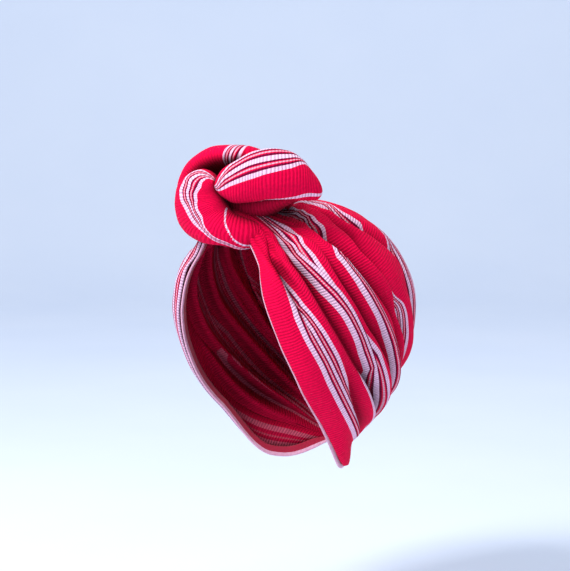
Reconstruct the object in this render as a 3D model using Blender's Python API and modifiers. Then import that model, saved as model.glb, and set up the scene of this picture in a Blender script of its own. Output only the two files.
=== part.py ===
"""Pre-tied turban of striped rib knit: a pleated crown, a face hem and a four-piece front knot.

Units are metres, +Z is up, the wearer faces -Y and +X is the wearer's left.
The origin is the inside top of the crown, where it rests on the crown of a head.
"""

import math

import bmesh
import bpy
from mathutils import Vector

MM = 0.001

# Head form: the surface the pleat valleys lie on, measured from the head's widest level.
HALF_WIDTH = 78.5 * MM
HALF_DEPTH = 98.5 * MM
HEIGHT_ABOVE = 82.5 * MM
DEPTH_BELOW = 115.5 * MM
SEAT_HEIGHT = 80.3 * MM

# The cloth runs from a gather under the knot to a gather at the nape.
FRONT_GATHER = Vector((0.0, -60.0, 70.0)) * MM
NAPE_GATHER = Vector((0.0, 60.0, -100.0)) * MM
ROWS = 24

CLOTH = 2.0 * MM
PLEAT_HEIGHT = 6.6 * MM
EDGE_ROUND = 4.0 * MM
RISE = 13.0 * MM
LOWEST_TIP_DROP = 16.0 * MM
TIP_WIDTH_DEG = 13.0
NAPE_SHARE = 0.6
GAP = 0.3 * MM

HEM_WIDTH = 8.0 * MM
HEM_THICKNESS = 1.4 * MM
HEM_STATIONS = 42
EDGE_LIFT = 2.2 * MM

KNOT_SIDES = 16
KNOT_STATIONS = 18

# Each valley between two pleats: its angle round the gather axis, in degrees, and how deep it
# is, from 0 to 1, at each station along the axis. Those past the centre back mirror these.
STATIONS = (0, 12, 24, 32, 40, 48, 56, 66, 78, 92, 108, 124, 145, 180)
VALLEYS = (
    ("face edge",   (-30, -33, -37, -42, -45, -46, -46.5, -47, -47, -47.5, -47.5, -48, -50, -50)),
    ("dart",        (6, 2, -23, -26, -27.5, -29, -28.5, -29, -29, -29, -29, -29, -31, -31)),
    ("low fold",    (12, 8, -16, -20, -21, -22, -22, -21, -21, -22.5, -24, -24, -23, -23)),
    ("valley 1",    (22, 18, -6, -13.5, -14, -16, -18, -17, -17, -16.5, -13, -10.5, -9, -9)),
    ("valley 2",    (42, 44, 22, 10, 2.5, 1, 0, 0.5, 2, 2.8, 5, 6.5, 8, 8)),
    ("valley 3",    (58, 60, 39, 27.5, 22, 20, 20, 19, 20.5, 21.5, 20.5, 24, 30, 30)),
    ("valley 4",    (70, 74, 70, 64, 50, 41, 34.5, 32.5, 32, 35, 36, 38, 43, 43)),
    ("valley 5",    (78, 80, 79, 75, 66, 56, 51.5, 51, 50, 46, 46, 50, 54, 54)),
    ("valley 6",    (84, 85, 84, 82, 78, 74, 71, 69, 68, 67, 67, 69, 71, 71)),
    ("centre back", (90, 90, 90, 90, 90, 90, 90, 90, 90, 90, 90, 90, 90, 90)),
)
DEPTHS = (
    ("face edge",   (0, 0, 0, 0, 0, 0, 0, 0, 0, 0, 0, 0, 0, 0)),
    ("dart",        (0.3, 0.6, 1, 1, 1, 0.7, 0.35, 0.05, 0, 0, 0, 0, 0, 0)),
    ("low fold",    (0, 0, 0, 0, 0, 0, 0, 0, 0, 0.25, 0.9, 1, 1, 1)),
    ("valley 1",    (1, 1, 1, 1, 1, 1, 1, 1, 1, 1, 1, 1, 1, 1)),
    ("valley 2",    (0, 0, 0, 0.15, 0.7, 1, 1, 1, 1, 1, 1, 1, 1, 1)),
    ("valley 3",    (1, 1, 1, 1, 1, 1, 1, 1, 1, 1, 1, 1, 1, 1)),
    ("valley 4",    (0, 0, 0, 0.4, 0.9, 1, 1, 0.9, 0.55, 0.15, 0.1, 0.3, 0.5, 0.5)),
    ("valley 5",    (0, 0, 0, 0, 0.4, 0.9, 1, 1, 0.9, 0.8, 0.8, 0.8, 0.8, 0.8)),
    ("valley 6",    (0, 0, 0, 0, 0, 0.3, 0.7, 0.8, 0.8, 0.8, 0.8, 0.8, 0.8, 0.8)),
    ("centre back", (0, 0, 0, 0, 0, 0, 0.2, 0.3, 0.3, 0.3, 0.3, 0.3, 0.3, 0.3)),
)

# How far the hem shows past the cloth edge at each station.
HEM_SHOWING_MM = (0.2, 0.2, 0.3, 0.4, 0.4, 0.4, 0.4, 0.5, 0.6, 0.9, 1.3, 2.0, 2.4, 0.5)

# Columns of quads over each pleat, from the face edge to the centre back.
PLEAT_COLUMNS = (5, 3, 3, 5, 5, 5, 5, 5, 5)

# The cloth bunches under the knot on the wearer's right, where the brow pushes it out.
RIGHT_BROW = {"station": (2, 15, 28, 46), "lift_mm": (0.0, 5.5, 3.0, 0.0)}

# Knot pieces, as sections across each strand. Columns, mm from the widest level:
# x, y, z of the section's inner edge; x, y, z of its outer edge; half thickness.
KNOT_LOOP = (
    (2, -86, 101, 1, -85, 108, 5),
    (2, -86, 99, -15, -83, 114, 9),
    (2, -86, 98, -31, -80, 110, 12),
    (3, -86, 96, -46, -76, 99, 14),
    (4, -85, 94, -49, -75, 86, 15),
    (5, -84, 91, -45, -76, 73, 15),
    (6, -82, 88, -33, -78, 63, 14),
    (7, -79, 85, -15, -80, 58, 13),
    (9, -75, 82, 1, -77, 57, 12),
    (13, -69, 77, 11, -71, 56, 10),
    (17, -63, 73, 18, -64, 58, 7),
)
KNOT_ROLL = (
    (-1, -84, 99, -1, -84, 105, 5),
    (5, -81, 93, 4, -82, 114, 9),
    (12, -76, 89, 12, -75, 121, 13),
    (22, -68, 90, 22, -66, 128, 16),
    (32, -60, 92, 32, -58, 130, 17),
    (41, -50, 92, 41, -49, 128, 16),
    (47, -40, 91, 47, -41, 122, 14),
    (51, -32, 91, 51, -35, 113, 11),
    (53, -27, 95, 53, -29, 104, 6),
)
KNOT_CREST = (
    (-34, -68, 78, -48, -68, 74, 8),
    (-35, -66, 85, -56, -66, 86, 12),
    (-34, -64, 93, -58, -63, 97, 15),
    (-31, -62, 100, -53, -60, 111, 17),
    (-27, -60, 106, -42, -58, 122, 18),
    (-17, -58, 111, -24, -55, 130, 18),
    (-6, -54, 112, -6, -50, 131, 17),
    (3, -46, 110, 4, -42, 128, 14),
    (9, -37, 101, 13, -33, 119, 12),
    (13, -30, 90, 20, -25, 106, 10),
    (15, -26, 79, 24, -20, 92, 7),
)
KNOT_WRAP = (
    (-34, -62, 68, -36, -62, 92, 10),
    (-22, -60, 64, -22, -60, 108, 17),
    (-10, -56, 62, -10, -56, 115, 20),
    (0, -52, 64, 0, -52, 115, 21),
    (9, -48, 71, 10, -48, 110, 20),
    (18, -44, 78, 20, -44, 104, 18),
    (28, -40, 85, 29, -40, 100, 14),
    (36, -36, 90, 37, -36, 98, 8),
)
KNOT_END_ROUNDING = 0.09


def smooth_step(value):
    """Return a value between 0 and 1 with soft ends."""
    value = min(max(value, 0.0), 1.0)
    return value * value * (3.0 - 2.0 * value)


def table_at(keys, values, where):
    """Read a table between its stations with a smooth curve."""
    if where <= keys[0]:
        return values[0]
    if where >= keys[-1]:
        return values[-1]
    i = max(k for k in range(len(keys) - 1) if keys[k] <= where)
    span = keys[i + 1] - keys[i]
    t = (where - keys[i]) / span

    def slope(k):
        if k == 0 or k == len(keys) - 1:
            return 0.0
        before = (values[k] - values[k - 1]) / (keys[k] - keys[k - 1])
        after = (values[k + 1] - values[k]) / (keys[k + 1] - keys[k])
        if before * after <= 0.0:
            return 0.0
        return 2.0 * before * after / (before + after)

    t2, t3 = t * t, t * t * t
    return ((2 * t3 - 3 * t2 + 1) * values[i] + (t3 - 2 * t2 + t) * span * slope(i)
            + (-2 * t3 + 3 * t2) * values[i + 1] + (t3 - t2) * span * slope(i + 1))


AXIS = (FRONT_GATHER - NAPE_GATHER).normalized()
MIDDLE = (FRONT_GATHER + NAPE_GATHER) * 0.5
SIDE = Vector((1.0, 0.0, 0.0))
BACK = Vector((0.0, AXIS.z, -AXIS.y))


def on_head(station, degrees):
    """Return the point of the head form at a station and angle, and its outward normal."""
    s, phi = math.radians(station), math.radians(degrees)
    ray = AXIS * math.cos(s) + (SIDE * math.cos(phi) + BACK * math.sin(phi)) * math.sin(s)
    for height in (HEIGHT_ABOVE, DEPTH_BELOW):
        scale = Vector((1.0 / HALF_WIDTH, 1.0 / HALF_DEPTH, 1.0 / height))
        a, b = ray * scale, MIDDLE * scale
        aa, ab, bb = a.dot(a), a.dot(b), b.dot(b) - 1.0
        reach = (-ab + math.sqrt(ab * ab - aa * bb)) / aa
        point = MIDDLE + ray * reach
        if (point.z >= 0.0) == (height == HEIGHT_ABOVE):
            break
    normal = Vector((point.x / HALF_WIDTH ** 2, point.y / HALF_DEPTH ** 2, point.z / height ** 2))
    return point, normal.normalized()


def fullness(station):
    """Pleats flatten toward the two gathers."""
    return smooth_step((station - 9.0) / 31.0) * smooth_step((168.0 - station) / 56.0)


def valley_at(index, station):
    """Angle of a valley; those past the centre back mirror the near ones."""
    last = len(VALLEYS) - 1
    if index <= last:
        return table_at(STATIONS, VALLEYS[index][1], station)
    return 180.0 - table_at(STATIONS, VALLEYS[2 * last - index][1], station)


def depth_at(index, station):
    """Depth of a valley, from 0 to 1."""
    last = len(VALLEYS) - 1
    return table_at(STATIONS, DEPTHS[index if index <= last else 2 * last - index][1], station)


def pleat_height(index, degrees, station):
    """Share of the full height: each fold rises slowly, then drops over a rounded edge."""
    last = len(VALLEYS) - 1
    point, _ = on_head(station, degrees)
    arm = point - MIDDLE
    radius = (arm - AXIS * arm.dot(AXIS)).length
    from_start = math.radians(degrees - valley_at(index, station)) * radius
    to_end = math.radians(valley_at(index + 1, station) - degrees) * radius
    start_depth, end_depth = depth_at(index, station), depth_at(index + 1, station)
    if index >= last:
        from_start, to_end = to_end, from_start
        start_depth, end_depth = end_depth, start_depth
    rise = math.sin(0.5 * math.pi * min(max(from_start / RISE, 0.0), 1.0)) ** 0.8
    edge = min(max(to_end / EDGE_ROUND, 0.0), 1.0)
    drop = math.sqrt(1.0 - (1.0 - edge) ** 2)
    return (1.0 - start_depth * (1.0 - rise)) * (1.0 - end_depth * (1.0 - drop))


def cloth_point(station, degrees, lift):
    """Lift a point off the head form, with the bunched brow and the low tip by the face edge."""
    point, normal = on_head(station, degrees)
    near = degrees if degrees <= 90.0 else 180.0 - degrees
    bunch = table_at(RIGHT_BROW["station"], RIGHT_BROW["lift_mm"], station) * MM
    lift = lift + bunch * smooth_step((degrees - 180.0) / 30.0)
    point = point + normal * lift
    edge = table_at(STATIONS, VALLEYS[0][1], station)
    low = smooth_step((station - 112.0) / 32.0)
    at_nape = smooth_step((station - 150.0) / 28.0)
    corner = 1.0 - smooth_step((near - edge) / TIP_WIDTH_DEG)
    drop = LOWEST_TIP_DROP * low * (corner * (1.0 - at_nape) + NAPE_SHARE * at_nape)
    outward = 0.28 * (1.0 - at_nape) * (1.0 if degrees <= 90.0 else -1.0)
    return point + Vector((outward, 0.22, -1.0)) * drop


def to_frame(point):
    """Move a point from the widest level to the shared frame."""
    return point - Vector((0.0, 0.0, SEAT_HEIGHT))


def face_outward(bm, inside):
    """Turn every face away from a point that lies inside the form."""
    bmesh.ops.recalc_face_normals(bm, faces=bm.faces)
    spread = sum(face.normal.dot(face.calc_center_median() - inside) * face.calc_area()
                 for face in bm.faces)
    if spread < 0.0:
        bmesh.ops.reverse_faces(bm, faces=bm.faces)


def make_object(name, bm, collection, inside=None):
    """Turn a bmesh into an object at the origin."""
    if inside is None:
        inside = sum((vert.co for vert in bm.verts), Vector()) / len(bm.verts)
    face_outward(bm, inside)
    mesh = bpy.data.meshes.new(name)
    bm.to_mesh(mesh)
    bm.free()
    for polygon in mesh.polygons:
        polygon.use_smooth = True
    obj = bpy.data.objects.new(name, mesh)
    collection.objects.link(obj)
    return obj


def make_material(name, colour, roughness):
    """Plain Principled material."""
    material = bpy.data.materials.new(name)
    material.use_nodes = True
    shader = material.node_tree.nodes["Principled BSDF"]
    shader.inputs["Base Color"].default_value = colour
    shader.inputs["Roughness"].default_value = roughness
    shader.inputs["Metallic"].default_value = 0.0
    return material


def crown_columns():
    """Every column of the crown as its pleat number and its place within the pleat."""
    last = len(VALLEYS) - 1
    counts = PLEAT_COLUMNS + PLEAT_COLUMNS[::-1]
    columns = [(0, 0.0)]
    for index in range(2 * last):
        columns += [(index, (k + 1) / counts[index]) for k in range(counts[index])]
    return columns


def crown_point(index, across, station):
    """Point of the crown's outer surface on one pleat."""
    last = len(VALLEYS) - 1
    start, end = valley_at(index, station), valley_at(index + 1, station)
    if index < last:
        across = 1.0 - (1.0 - across) ** 1.35
    else:
        across = across ** 1.35
    degrees = start + (end - start) * across
    height = PLEAT_HEIGHT * pleat_height(index, degrees, station)
    from_edge = min(degrees - valley_at(0, station), valley_at(2 * last, station) - degrees)
    height = EDGE_LIFT + (height - EDGE_LIFT) * smooth_step(from_edge / 9.0)
    return cloth_point(station, degrees, height * fullness(station))


def build_crown(collection):
    """Pleated crown: a grid laid over the head form, thickened on its inner side."""
    columns = crown_columns()
    wide = len(columns) - 1
    bm = bmesh.new()
    bmesh.ops.create_grid(bm, x_segments=wide, y_segments=ROWS, size=1.0)
    for vert in bm.verts:
        column = round((vert.co.x + 1.0) * 0.5 * wide)
        station = 180.0 * (vert.co.y + 1.0) * 0.5
        index, across = columns[column]
        vert.co = to_frame(crown_point(index, across, station))
    bmesh.ops.remove_doubles(bm, verts=bm.verts, dist=0.00001)
    crown = make_object("crown", bm, collection, to_frame(MIDDLE))
    shell = crown.modifiers.new("cloth", "SOLIDIFY")
    shell.thickness = CLOTH
    shell.offset = -1.0
    shell.use_rim = True
    shell.use_even_offset = False
    return crown


def apply_modifiers(obj):
    """Replace the mesh by its evaluated one."""
    depsgraph = bpy.context.evaluated_depsgraph_get()
    mesh = bpy.data.meshes.new_from_object(obj.evaluated_get(depsgraph))
    obj.modifiers.clear()
    old = obj.data
    obj.data = mesh
    bpy.data.meshes.remove(old)


def strand_section(table, where):
    """Inner edge, outer edge and half thickness of a strand, read between its sections."""
    keys = range(len(table))
    values = [table_at(keys, [row[k] for row in table], where) for k in range(7)]
    return Vector(values[0:3]) * MM, Vector(values[3:6]) * MM, values[6] * MM


def build_strand(name, table, collection, grow=0.0):
    """Round-ended strand: a sphere whose rings are laid on the table's sections."""
    bm = bmesh.new()
    bmesh.ops.create_uvsphere(bm, u_segments=KNOT_SIDES, v_segments=KNOT_STATIONS, radius=1.0)
    last = len(table) - 1
    for vert in bm.verts:
        along = math.acos(min(max(vert.co.z, -1.0), 1.0)) / math.pi
        angle = math.atan2(vert.co.y, vert.co.x)
        from_end = min(along, 1.0 - along) / KNOT_END_ROUNDING
        rounding = math.sqrt(1.0 - (1.0 - min(from_end, 1.0)) ** 2)
        inner, outer, half = strand_section(table, last * along)
        inner_on, outer_on, _ = strand_section(table, min(last * along + 0.1, last))
        inner_off, outer_off, _ = strand_section(table, max(last * along - 0.1, 0.0))
        forward = (inner_on + outer_on - inner_off - outer_off).normalized()
        across = (outer - inner).normalized()
        outward = across.cross(forward).normalized()
        centre = (inner + outer) * 0.5
        x = math.cos(angle) * ((outer - inner).length * 0.5 * rounding + grow)
        y = math.sin(angle) * (half * rounding + grow)
        if from_end < 0.001:
            x, y = 0.0, 0.0
            centre = centre + forward * (grow if along > 0.5 else -grow)
        vert.co = to_frame(centre + across * x + outward * y)
    return make_object(name, bm, collection)


def build_head_cutter(collection):
    """Smooth closed form just outside the pleat ridges, used to seat the knot."""
    bm = bmesh.new()
    bmesh.ops.create_uvsphere(bm, u_segments=36, v_segments=28, radius=1.0)
    for vert in bm.verts:
        station = math.degrees(math.acos(min(max(vert.co.z, -1.0), 1.0)))
        degrees = (math.degrees(math.atan2(vert.co.y, vert.co.x)) + 90.0) % 360.0 - 90.0
        lift = PLEAT_HEIGHT * fullness(station) + 3.0 * GAP
        vert.co = to_frame(cloth_point(station, degrees, lift))
    return make_object("head_room", bm, collection)


def cut(obj, cutters):
    """Take the cutters away from an object."""
    for cutter in cutters:
        tool = obj.modifiers.new("cut", "BOOLEAN")
        tool.operation = "DIFFERENCE"
        tool.solver = "EXACT"
        tool.object = cutter
    apply_modifiers(obj)
    keep_largest(obj)


def keep_largest(obj):
    """Drop crumbs left by a cut and merge points that coincide."""
    bm = bmesh.new()
    bm.from_mesh(obj.data)
    bmesh.ops.remove_doubles(bm, verts=bm.verts, dist=0.00005)
    groups, seen = [], set()
    for start in bm.verts:
        if start in seen:
            continue
        group, stack = [], [start]
        seen.add(start)
        while stack:
            vert = stack.pop()
            group.append(vert)
            for edge in vert.link_edges:
                other = edge.other_vert(vert)
                if other not in seen:
                    seen.add(other)
                    stack.append(other)
        groups.append(group)
    groups.sort(key=len)
    crumbs = [vert for group in groups[:-1] for vert in group]
    bmesh.ops.delete(bm, geom=crumbs, context="VERTS")
    face_outward(bm, sum((vert.co for vert in bm.verts), Vector()) / len(bm.verts))
    bm.to_mesh(obj.data)
    bm.free()


def build_hem(collection):
    """Turned band inside the face edge, running once round the whole opening."""
    bm = bmesh.new()
    bmesh.ops.create_grid(bm, x_segments=2 * HEM_STATIONS, y_segments=2, size=1.0)
    far = 2 * len(VALLEYS) - 2
    for vert in bm.verts:
        along = vert.co.x
        near_side = along <= 0.0
        station = 180.0 * (1.0 + along if near_side else 1.0 - along)
        station = min(max(station, 0.5), 179.5)
        edge = valley_at(0 if near_side else far, station)
        lift = EDGE_LIFT * fullness(station)
        here = cloth_point(station, edge, lift)
        inward = cloth_point(station, edge + (3.0 if near_side else -3.0), lift) - here
        inward.normalize()
        onward = (cloth_point(station + 0.5, edge, lift) - cloth_point(station - 0.5, edge, lift))
        normal = inward.cross(onward).normalized() * (-1.0 if near_side else 1.0)
        ends = smooth_step((station - 1.0) / 16.0) * smooth_step((179.0 - station) / 16.0)
        back = (vert.co.y + 1.0) * 0.5 * (1.0 + (HEM_WIDTH / MM - 1.0) * ends) * MM
        back -= table_at(STATIONS, HEM_SHOWING_MM, station) * MM
        drop = CLOTH + 2.5 * GAP + 0.30 * max(back, 0.0)
        vert.co = to_frame(here + inward * back - normal * drop)
    bmesh.ops.remove_doubles(bm, verts=bm.verts, dist=0.00001)
    hem = make_object("face_hem", bm, collection, to_frame(MIDDLE))
    band = hem.modifiers.new("band", "SOLIDIFY")
    band.thickness = HEM_THICKNESS
    band.offset = -1.0
    band.use_rim = True
    band.use_even_offset = False
    return hem


def main():
    """Build every piece into one collection."""
    for obj in list(bpy.data.objects):
        bpy.data.objects.remove(obj, do_unlink=True)
    turban = bpy.data.collections.new("turban")
    cutters = bpy.data.collections.new("cutters")
    bpy.context.scene.collection.children.link(turban)
    bpy.context.scene.collection.children.link(cutters)

    knit = make_material("striped_rib_knit", (0.62, 0.005, 0.05, 1.0), 0.85)
    hem_cloth = make_material("hem_cloth", (0.70, 0.45, 0.55, 1.0), 0.85)

    crown = build_crown(turban)
    hem = build_hem(turban)
    loop = build_strand("knot_loop", KNOT_LOOP, turban)
    roll = build_strand("knot_roll", KNOT_ROLL, turban)
    crest = build_strand("knot_crest", KNOT_CREST, turban)
    wrap = build_strand("knot_wrap", KNOT_WRAP, turban)

    head = build_head_cutter(cutters)
    loop_room = build_strand("loop_room", KNOT_LOOP, cutters, GAP)
    roll_room = build_strand("roll_room", KNOT_ROLL, cutters, GAP)
    crest_room = build_strand("crest_room", KNOT_CREST, cutters, GAP)
    cut(loop, [head])
    cut(roll, [head, loop_room])
    cut(crest, [head, loop_room, roll_room])
    cut(wrap, [head, loop_room, roll_room, crest_room])

    for cutter in cutters.objects:
        cutter.hide_render = True
        cutter.display_type = "WIRE"
    for piece in (crown, loop, roll, crest, wrap):
        piece.data.materials.clear()
        piece.data.materials.append(knit)
    hem.data.materials.append(hem_cloth)
    for piece in turban.objects:
        print(piece.name, len(piece.data.vertices), "points", len(piece.data.polygons), "faces")


main()
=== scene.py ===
# %% [markdown]
# # A pre-tied turban in striped rib knit
#
# The turban is one length of red rib knit with groups of white stripes. It is gathered into a big
# knot at the top front, and its folds run from there round the head to a second gather at the nape.
# This lesson dresses the plain solids of the part: folded cloth, stripes that follow the folds, the
# turned hem round the face, and the four strands of the knot.
#
# Everything is in metres, +Z is up, the wearer faces -Y, and the origin is the inside top of the
# crown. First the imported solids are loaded. They are the fixed frame that all else is fitted to.

# %% Load the fixed frame
import functools
import math

import bmesh
import bpy
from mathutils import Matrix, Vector, noise


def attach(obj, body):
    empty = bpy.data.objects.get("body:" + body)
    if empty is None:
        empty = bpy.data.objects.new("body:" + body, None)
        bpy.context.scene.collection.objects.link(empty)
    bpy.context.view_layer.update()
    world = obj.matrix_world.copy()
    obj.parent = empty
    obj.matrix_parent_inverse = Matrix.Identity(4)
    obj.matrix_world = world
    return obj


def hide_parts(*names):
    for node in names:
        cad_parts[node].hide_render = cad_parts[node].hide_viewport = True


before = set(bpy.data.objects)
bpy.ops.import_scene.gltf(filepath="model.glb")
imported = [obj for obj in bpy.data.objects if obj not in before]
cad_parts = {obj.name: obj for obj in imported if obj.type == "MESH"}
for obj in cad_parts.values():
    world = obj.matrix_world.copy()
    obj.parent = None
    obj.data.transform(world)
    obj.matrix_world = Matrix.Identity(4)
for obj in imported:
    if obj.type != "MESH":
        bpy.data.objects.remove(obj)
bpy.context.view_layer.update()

MM = 0.001
# The standard transform keeps the strong red of the dye, which the default one washes out.
bpy.context.scene.view_settings.view_transform = "Standard"
print("Nodes in the frame:", sorted(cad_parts))

# %% [markdown]
# ## The camera
#
# The photograph looks at the wearer's front left, from a little above the widest level of the head.
# The camera stands on that line, 1.5 m away, and the focal length follows from how many pixels one
# metre fills there. A small shift puts the head where the photograph has it. A shift keeps upright
# things upright, which turning the camera would not.

# %% Camera at the photograph's angle
IMAGE_WIDTH, IMAGE_HEIGHT = 570, 571
CAMERA_AZIMUTH = 44.0
CAMERA_ELEVATION = 7.0
CAMERA_DISTANCE = 1.5
PIXELS_PER_METRE = 1280.0
TARGET_PIXEL = (295.0, 312.0)
WIDEST_LEVEL = Vector((0.0, 0.0, -80.3)) * MM


def add_camera():
    """Create the camera and make it the scene's own."""
    azimuth, elevation = math.radians(CAMERA_AZIMUTH), math.radians(CAMERA_ELEVATION)
    away = Vector((math.sin(azimuth) * math.cos(elevation),
                   -math.cos(azimuth) * math.cos(elevation),
                   math.sin(elevation)))
    camera = bpy.data.objects.new("camera", bpy.data.cameras.new("camera"))
    camera.location = WIDEST_LEVEL + away * CAMERA_DISTANCE
    camera.rotation_euler = (-away).to_track_quat("-Z", "Y").to_euler()
    lens = camera.data
    lens.sensor_fit = "HORIZONTAL"
    lens.sensor_width = 36.0
    lens.lens = PIXELS_PER_METRE * CAMERA_DISTANCE * lens.sensor_width / IMAGE_WIDTH
    lens.shift_x = (IMAGE_WIDTH / 2 - TARGET_PIXEL[0]) / IMAGE_WIDTH
    lens.shift_y = (TARGET_PIXEL[1] - IMAGE_HEIGHT / 2) / IMAGE_WIDTH
    bpy.context.scene.collection.objects.link(camera)
    bpy.context.scene.camera = camera
    return camera


camera = add_camera()
print("Camera at", [round(v, 3) for v in camera.location], "lens", round(camera.data.lens, 1), "mm")

# %% [markdown]
# ## Small helpers for materials
#
# Colours are written as the hex values that a screen shows. Cycles works in linear light, so one
# function turns them. A second function adds a shader node with its settings and its links, which
# keeps each material short enough to read as a recipe.

# %% Colour and node helpers


def to_linear(hex_colour):
    """Turn an sRGB hex colour into the linear values a shader needs."""
    parts = [int(hex_colour[k:k + 2], 16) / 255 for k in (1, 3, 5)]
    return [p / 12.92 if p <= 0.04045 else ((p + 0.055) / 1.055) ** 2.4 for p in parts] + [1.0]


def add_node(tree, kind, settings=None, **links):
    """Add a node. A link value is a socket, and any other value is set on the input."""
    node = tree.nodes.new(kind)
    for name, value in (settings or {}).items():
        setattr(node, name, value)
    for name, value in links.items():
        place = int(name[3:]) if name.startswith("in_") else name.replace("_", " ")
        if isinstance(value, bpy.types.NodeSocket):
            tree.links.new(value, node.inputs[place])
        else:
            node.inputs[place].default_value = value
    return node


def set_inputs(node, **values):
    """Set several inputs of a node to fixed values."""
    for name, value in values.items():
        node.inputs[name.replace("_", " ")].default_value = value


def new_material(name):
    """An empty material with a Principled shader, and its node tree."""
    material = bpy.data.materials.new(name)
    material.use_nodes = True
    tree = material.node_tree
    return material, tree, tree.nodes["Principled BSDF"]


# %% [markdown]
# ## The rib knit and its stripes
#
# The cloth is a cotton and polyester rib knit. Its stripes are knitted in, so they run with the
# cloth and bend with each fold. The ribs cross the stripes at right angles. Every strand and the
# crown carry a UV map called fabric, measured in millimetres: U runs along the stripes and V across
# them. One ramp over V then paints every stripe, and one wave over U makes every rib.
#
# One repeat is 57 mm: a broad white stripe, a narrow one and a broad one, with dark lines and a
# pink thread in the two gaps, and then plain red. The white yarn has a pink cast. A knit is matt:
# its fuzz spreads the light, so it has almost no highlight.

# %% Stripe pattern, in millimetres of cloth
REPEAT = 57.0
RIB_PERIOD = 2.3
RED = "#F20044"
WHITE = "#FFCDEA"
LINE = "#7A0034"
PINK = "#F7A9C0"
# The deep red of the knit's reverse, for the inside of the crown, and also painted shade on the
# wrap.
REVERSE_AND_WRAP_SHADE_RED = "#BE0536"
STRIPES = (
    (0.0, RED),
    (0.8, WHITE),
    (4.7, LINE),
    (6.1, RED),
    (6.7, PINK),
    (7.8, RED),
    (8.5, LINE),
    (10.0, WHITE),
    (12.9, LINE),
    (14.2, RED),
    (14.9, PINK),
    (16.0, RED),
    (16.7, LINE),
    (18.3, WHITE),
    (22.2, RED),
)
# How strongly the painted shade in the grooves between the ribs shows on pale yarn and on red.
PALE_GROOVE_SHADE, RED_GROOVE_SHADE = 0.85, 0.5


def stripe_ramp(tree, across):
    """Colour of the yarn at a place across the stripes, and how strongly painted groove shade shows
    on it.
    """
    turns = add_node(tree, "ShaderNodeMath", {"operation": "DIVIDE"}, in_0=across, in_1=REPEAT)
    place = add_node(tree, "ShaderNodeMath", {"operation": "FRACT"}, in_0=turns.outputs[0])
    node = add_node(tree, "ShaderNodeValToRGB", Fac=place.outputs[0])
    ramp = node.color_ramp
    ramp.interpolation = "CONSTANT"
    for position, _ in STRIPES[2:]:
        ramp.elements.new(position / REPEAT)
    for element, (position, colour) in zip(ramp.elements, STRIPES):
        element.position = position / REPEAT
        groove_shade_share = PALE_GROOVE_SHADE if colour in (WHITE, PINK) else RED_GROOVE_SHADE
        element.color = to_linear(colour)[:3] + [groove_shade_share]
    return node.outputs["Color"], node.outputs["Alpha"]


print("One repeat is", REPEAT, "mm and one rib", RIB_PERIOD, "mm")

# %% [markdown]
# ## Ribs, grooves and fuzz
#
# A rib is a round column of stitches, and the groove beside it is darkened with painted shade. A
# sine wave over U gives both that painted shade and the height for the bump. Three noises keep it
# from looking printed: one lets the ribs waver, one makes the dye uneven, and a fine one stands for
# the single stitches. The same recipe with its stripes nearly hidden makes the reverse of the knit,
# for the inside and the wrap; on the wrap its deeper red is painted shade from the roll above it.

# %% Rib knit and its reverse
# Patterns per millimetre of cloth: a rib wavers over 22 mm, the dye over 3 mm, a stitch is 0.6 mm.
WAVER_PER_MM = 0.045
DYE_PER_MM = 0.35
STITCHES_PER_MM = 1.6
RIB_WAVER = 2.0
# Painted shade in the grooves between ribs: the share of colour left at the bottom of a groove.
GROOVE_SHADE = 0.50
# Painted shade deep in the folds: the least share of colour left, and how far round the occlusion
# test looks.
PAINTED_FOLD_SHADE = 0.16
FOLD_SHADE_REACH = 22.0 * MM


def cloth_noise(tree, cloth, per_mm, detail):
    """Noise over the flat cloth, so that it follows every fold."""
    return add_node(tree, "ShaderNodeTexNoise", {"noise_dimensions": "2D"},
                    Vector=cloth.outputs["UV"], Scale=per_mm, Detail=detail).outputs["Fac"]


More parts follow.
